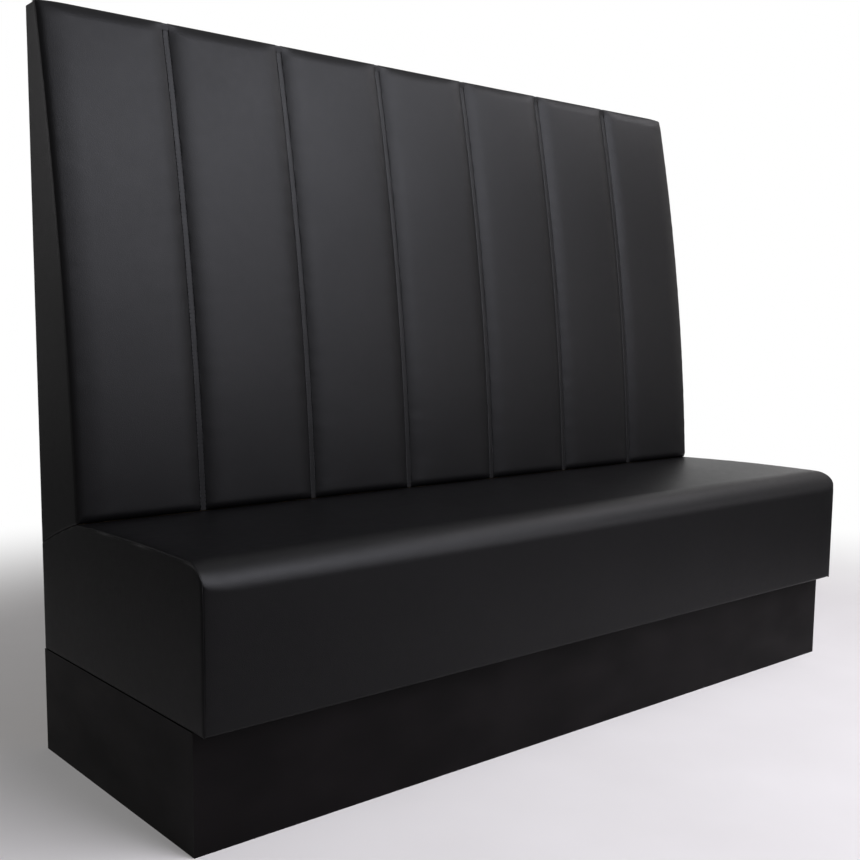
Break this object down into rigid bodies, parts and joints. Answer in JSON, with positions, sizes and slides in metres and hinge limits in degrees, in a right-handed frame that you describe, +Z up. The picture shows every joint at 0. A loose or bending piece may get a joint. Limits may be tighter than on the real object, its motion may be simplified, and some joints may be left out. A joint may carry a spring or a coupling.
{
  "type": "restaurant booth seating",
  "caption": "High-backed wall bench for a restaurant, with a crowned seat rolled over its front, a recessed plinth and a tall black vinyl back sewn in upright padded channels.",
  "frame": {"origin": "on the floor under the middle of the bench's box: halfway along it and halfway between the wall side and the front of the apron", "axes": "+X runs along the bench to the right as seen from in front of it, +Y points to the wall behind it, and +Z is up"},
  "size_m": [1.8, 0.605, 1.39],
  "materials": {
    "black_vinyl": "satin",
    "thread": "matte",
    "plinth_laminate": "satin",
    "plywood": "matte",
    "softwood": "matte",
    "foam": "matte",
    "black_lining": "matte",
    "zinc_steel": "satin"
  },
  "bodies": {
    "root": {"apron_foam": "foam", "back_base_board": "plywood", "back_base_foam": "foam", "back_end_cover_left": "black_vinyl", "back_end_cover_right": "black_vinyl", "back_face_panel": "plywood", "back_flute_1": "black_vinyl", "back_flute_2": "black_vinyl", "back_flute_3": "black_vinyl", "back_flute_4": "black_vinyl", "back_flute_5": "black_vinyl", "back_flute_6": "black_vinyl", "back_flute_7": "black_vinyl", "back_gable_left": "plywood", "back_gable_right": "plywood", "back_middle_rail_1": "softwood", "back_middle_rail_2": "softwood", "back_rear_lining": "black_lining", "back_rib_1": "plywood", "back_rib_2": "plywood", "back_rib_3": "plywood", "back_seam_bands": "black_vinyl", "back_top_cover": "black_vinyl", "back_top_rail": "softwood", "joining_plates": "zinc_steel", "joining_screws": "zinc_steel", "plinth_bearer_1": "softwood", "plinth_bearer_2": "softwood", "plinth_bearer_3": "softwood", "plinth_bolts": "zinc_steel", "plinth_corner_blocks": "softwood", "plinth_end_board_left": "plinth_laminate", "plinth_end_board_right": "plinth_laminate", "plinth_front_board": "plinth_laminate", "plinth_nuts": "zinc_steel", "plinth_rear_board": "plinth_laminate", "seat_base_lining": "black_lining", "seat_bearer_1": "softwood", "seat_bearer_2": "softwood", "seat_bearer_3": "softwood", "seat_corner_blocks": "softwood", "seat_cover": "black_vinyl", "seat_deck": "plywood", "seat_end_board_left": "plywood", "seat_end_board_right": "plywood", "seat_end_cover_left": "black_vinyl", "seat_end_cover_right": "black_vinyl", "seat_foam": "foam", "seat_front_board": "plywood", "seat_rear_board": "plywood"}
  },
  "joints": []
}
